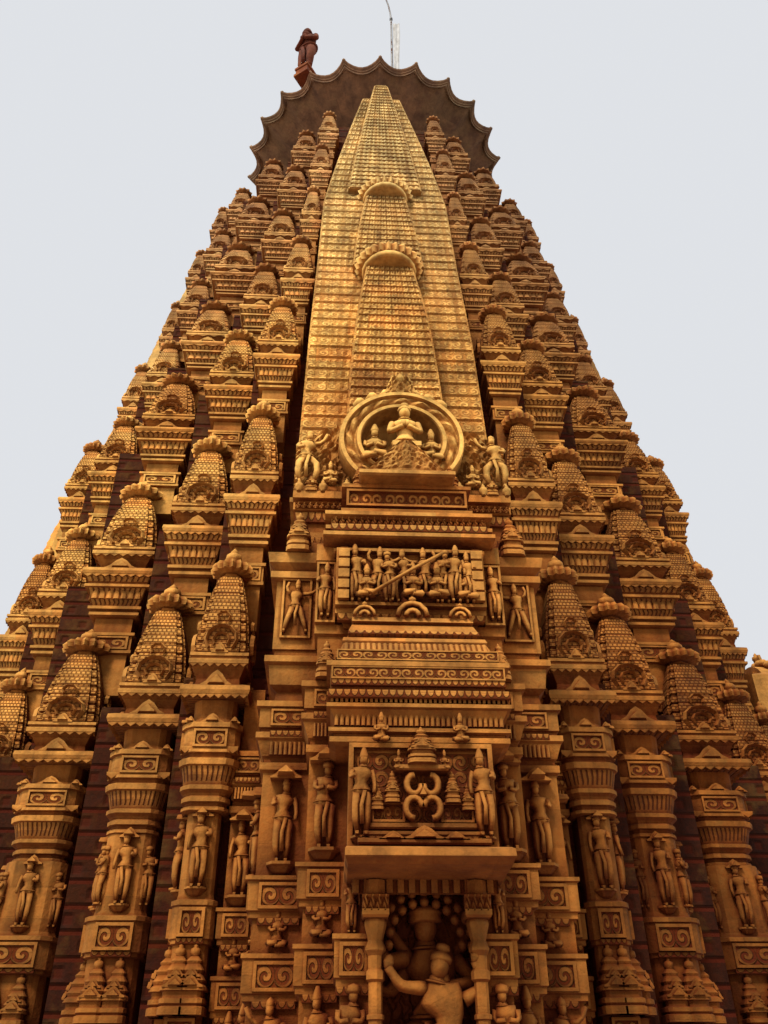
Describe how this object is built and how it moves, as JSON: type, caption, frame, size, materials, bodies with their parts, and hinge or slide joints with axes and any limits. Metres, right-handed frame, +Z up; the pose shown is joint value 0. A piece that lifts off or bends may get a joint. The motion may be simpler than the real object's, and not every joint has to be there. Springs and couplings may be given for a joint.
{
  "type": "hindu temple tower",
  "caption": "Sandstone temple tower with a hollow sanctum, strings of small carved spires in tiers, a carved band on each side and a scalloped crown stone",
  "frame": {"origin": "middle of the base, on the ground", "axes": "+Z up, -Y towards the carved front with the niche, doorway in the +Y side"},
  "size_m": [17.8, 17.8, 29.4055],
  "materials": {
    "ochre_stone": "golden ochre sandstone, weathered matte carving",
    "pale_stone": "paler yellow sandstone with fine mesh carving, matte",
    "shaded_stone": "red brown sandstone in the recesses, matte",
    "crown_stone": "purple brown weathered stone with lichen, matte",
    "figure_stone": "dark red weathered stone, matte",
    "pole_metal": "weathered dark grey metal",
    "pennant_cloth": "thin faded grey white cotton"
  },
  "bodies": {
    "root": {"base_course": "shaded_stone", "wall_front": "shaded_stone", "wall_left": "shaded_stone", "wall_right": "shaded_stone", "wall_back_left": "shaded_stone", "wall_back_right": "shaded_stone", "wall_over_door": "shaded_stone", "core_lower": "shaded_stone", "core_middle": "shaded_stone", "core_upper": "shaded_stone", "neck": "shaded_stone", "bay_front": "ochre_stone", "bay_left": "ochre_stone", "bay_right": "ochre_stone", "bay_back_left": "ochre_stone", "bay_back_right": "ochre_stone", "bay_over_door": "ochre_stone", "band_front": "pale_stone", "band_right": "pale_stone", "band_back": "pale_stone", "band_left": "pale_stone", "spires_front_left_1": "ochre_stone", "spires_front_left_2": "ochre_stone", "spires_front_left_3": "ochre_stone", "spires_front_left_4": "ochre_stone", "spires_front_left_5": "ochre_stone", "spires_front_right_1": "ochre_stone", "spires_front_right_2": "ochre_stone", "spires_front_right_3": "ochre_stone", "spires_front_right_4": "ochre_stone", "spires_front_right_5": "ochre_stone", "spires_back_left_1": "ochre_stone", "spires_back_left_2": "ochre_stone", "spires_back_left_3": "ochre_stone", "spires_back_left_4": "ochre_stone", "spires_back_left_5": "ochre_stone", "spires_back_right_1": "ochre_stone", "spires_back_right_2": "ochre_stone", "spires_back_right_3": "ochre_stone", "spires_back_right_4": "ochre_stone", "spires_back_right_5": "ochre_stone", "crown_disc": "crown_stone", "cap_stone": "crown_stone", "finial": "crown_stone", "rim_figure": "figure_stone", "flag_pole": "pole_metal", "pennant": "pennant_cloth"}
  },
  "joints": []
}
